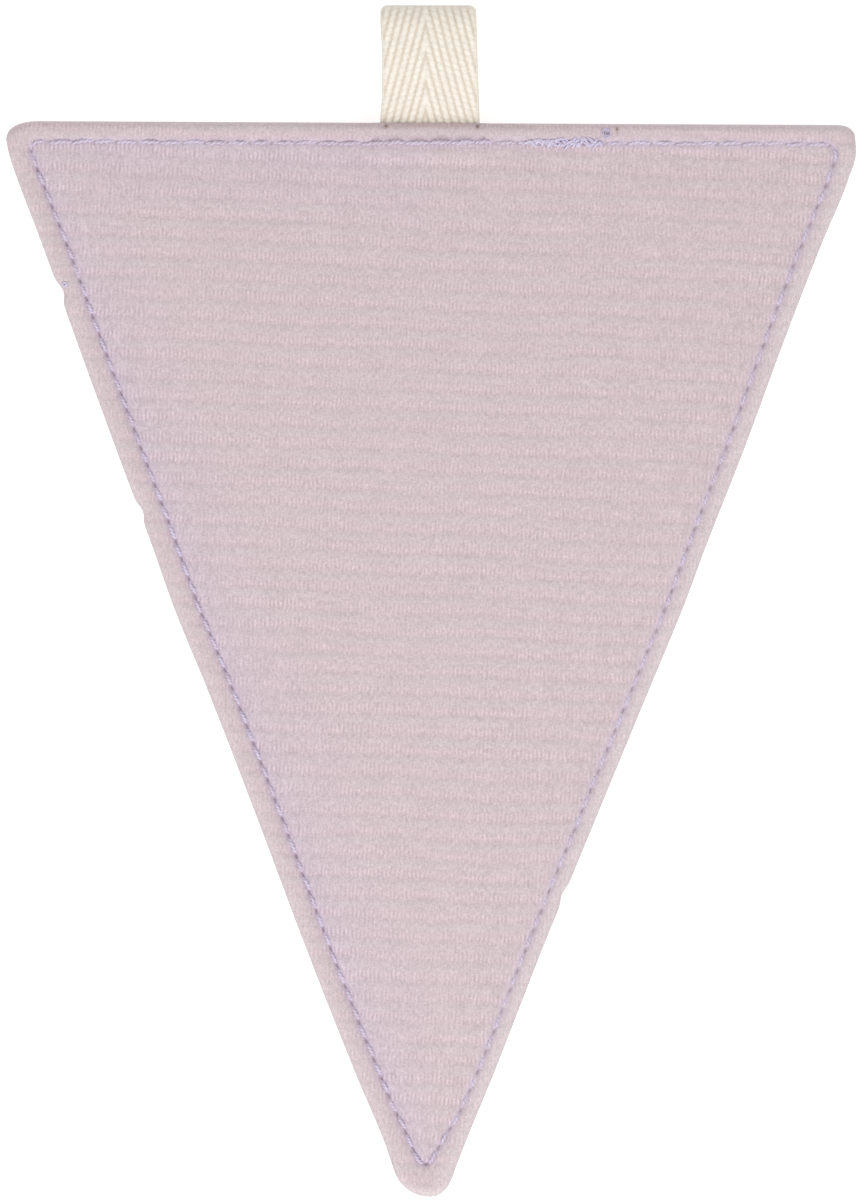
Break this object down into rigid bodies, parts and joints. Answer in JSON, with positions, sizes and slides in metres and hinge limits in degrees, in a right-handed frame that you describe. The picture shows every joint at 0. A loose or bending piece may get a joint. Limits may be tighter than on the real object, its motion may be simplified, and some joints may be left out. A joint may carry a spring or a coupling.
{
  "type": "bunting flag",
  "caption": "Triangular cloth bunting flag in ribbed velour, two turned panels topstitched round the edge, with a folded tape loop at the top for hanging on a cord.",
  "frame": {"origin": "on the surface the flag lies on, under the middle of its whole outline", "axes": "+X across the flag to its right seen from the front, +Y from the tip to the loop, +Z out of the front face, up from the surface"},
  "size_m": [0.1417, 0.1988, 0.007],
  "materials": {
    "velour_front": "ribbed velour, short soft pile, dusty lilac",
    "velour_back": "ribbed velour, short soft pile, dusty lilac",
    "cotton_tape": "natural cotton herringbone tape, matt",
    "sewing_thread": "lilac polyester topstitching thread, slight sheen"
  },
  "bodies": {
    "root": {"front_panel": "velour_front", "back_panel": "velour_back", "tape_loop": "cotton_tape"}
  },
  "joints": []
}
